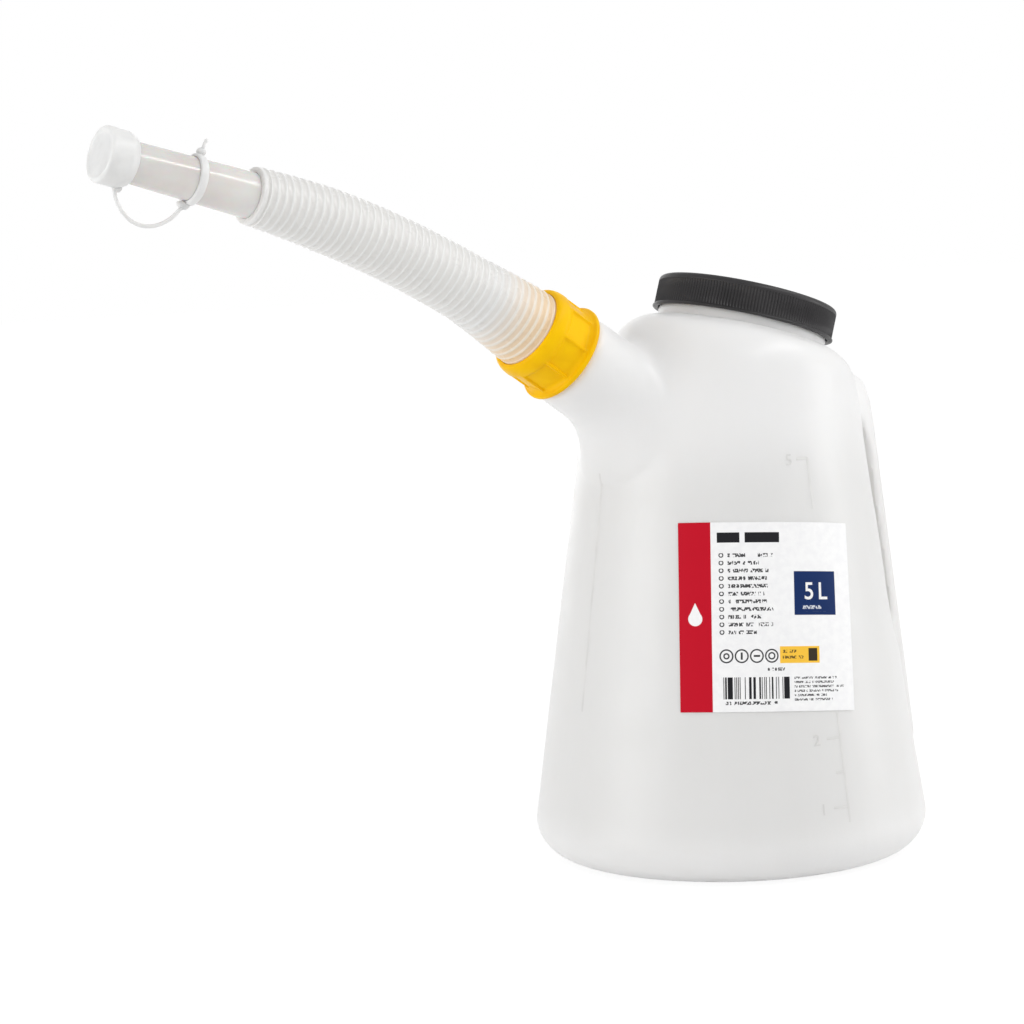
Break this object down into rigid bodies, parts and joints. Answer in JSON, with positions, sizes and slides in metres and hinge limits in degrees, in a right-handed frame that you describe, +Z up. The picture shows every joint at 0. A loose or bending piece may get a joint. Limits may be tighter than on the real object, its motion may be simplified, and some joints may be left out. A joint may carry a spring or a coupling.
{
  "type": "oil jug",
  "caption": "Conical plastic pouring jug with a grip, a wide ribbed screw lid and a flexible corrugated spout hose with a capped nozzle.",
  "frame": {"origin": "centre of the flat face the jug stands on, on the cone's axis", "axes": "+Z up the body, +X towards the grip, -X the way the spout points, +Y to the left of one who looks along +X"},
  "size_m": [0.4499, 0.203, 0.3819],
  "materials": {
    "body_plastic": "translucent satin",
    "label_film": "matt print",
    "lid_plastic": "satin",
    "liner_foam": "matt",
    "collar_plastic": "satin",
    "seal_rubber": "matt",
    "hose_plastic": "translucent satin",
    "nozzle_plastic": "translucent glossy",
    "cap_plastic": "satin"
  },
  "bodies": {
    "jug": {"jug_body": "body_plastic", "label": "label_film", "spout_seal": "seal_rubber"},
    "lid_seat": {"lid_liner": "liner_foam"},
    "lid": {"lid": "lid_plastic"},
    "spout": {"hose": "hose_plastic"},
    "collar": {"collar_nut": "collar_plastic"},
    "nozzle": {"nozzle": "nozzle_plastic", "cap_tether": "cap_plastic"},
    "cap": {"tip_cap": "cap_plastic"}
  },
  "joints": [
    {"name": "lid_rise", "type": "slide", "parent": "jug", "child": "lid_seat", "axis": [0.2924, 0, 0.9563], "range_m": [0, 0.018]},
    {"name": "lid_turn", "type": "hinge", "parent": "lid_seat", "child": "lid", "pos_m": [0.0171, 0, 0.272], "axis": [0.2924, 0, 0.9563], "range_deg": [0, 1080]},
    {"name": "spout_lift", "type": "slide", "parent": "jug", "child": "spout", "axis": [-0.829, 0, 0.5592], "range_m": [0, 0.021]},
    {"name": "collar_turn", "type": "hinge", "parent": "spout", "child": "collar", "pos_m": [-0.0958, 0, 0.2633], "axis": [-0.829, 0, 0.5592], "range_deg": [0, 1080]},
    {"name": "hose_bend", "type": "hinge", "parent": "spout", "child": "nozzle", "pos_m": [-0.19, 0, 0.3188], "axis": [0, 1, 0], "range_deg": [-40, 30], "deforming": ["hose"]},
    {"name": "cap_pull", "type": "slide", "parent": "nozzle", "child": "cap", "axis": [-0.9622, 0, 0.2723], "range_m": [0, 0.018], "deforming": ["cap_tether"]}
  ],
  "couplings": [
    {"joint": "lid_rise", "follows": "lid_turn", "m_per_rad": 0.00095483},
    {"joint": "spout_lift", "follows": "collar_turn", "m_per_rad": 0.001114}
  ]
}
